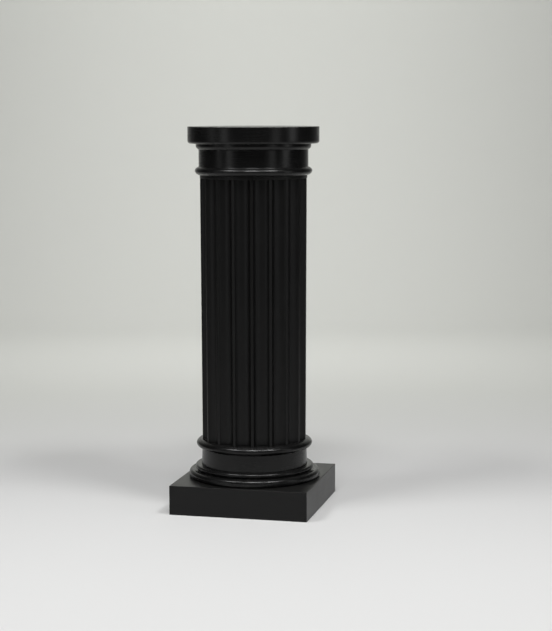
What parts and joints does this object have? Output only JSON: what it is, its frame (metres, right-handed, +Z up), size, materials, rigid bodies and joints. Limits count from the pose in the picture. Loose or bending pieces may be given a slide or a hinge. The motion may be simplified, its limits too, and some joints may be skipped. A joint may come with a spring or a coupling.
{
  "type": "column pedestal",
  "caption": "Free-standing fluted column pedestal in satin black lacquer, with a square plinth, turned beads and mouldings and a round flat top.",
  "frame": {"origin": "centre of the plinth's underside, on the floor", "axes": "+Z up the column's axis; the plinth's sides run along X and Y, with -Y the front"},
  "size_m": [0.274, 0.274, 0.75],
  "materials": {
    "black_lacquer": "satin black lacquer over turned wood",
    "bare_wood": "bare planed hardwood",
    "zinc_steel": "bright zinc plating"
  },
  "bodies": {
    "root": {"plinth_front_board": "black_lacquer", "plinth_right_board": "black_lacquer", "plinth_back_board": "black_lacquer", "plinth_left_board": "black_lacquer", "plinth_top_board": "black_lacquer", "base_moulding": "black_lacquer", "lower_collar": "black_lacquer", "shaft_stave_1": "black_lacquer", "shaft_stave_2": "black_lacquer", "shaft_stave_3": "black_lacquer", "shaft_stave_4": "black_lacquer", "shaft_stave_5": "black_lacquer", "shaft_stave_6": "black_lacquer", "shaft_stave_7": "black_lacquer", "shaft_stave_8": "black_lacquer", "shaft_stave_9": "black_lacquer", "upper_collar": "black_lacquer", "ovolo_ring": "black_lacquer", "top_disc": "black_lacquer", "corner_block_front_left": "bare_wood", "corner_block_front_right": "bare_wood", "corner_block_back_right": "bare_wood", "corner_block_back_left": "bare_wood", "bottom_plug": "bare_wood", "top_plug": "bare_wood", "locating_dowels": "bare_wood", "plinth_screws": "zinc_steel", "tie_rod": "zinc_steel", "rod_washer": "zinc_steel", "rod_nut": "zinc_steel", "top_insert": "zinc_steel"}
  },
  "joints": []
}
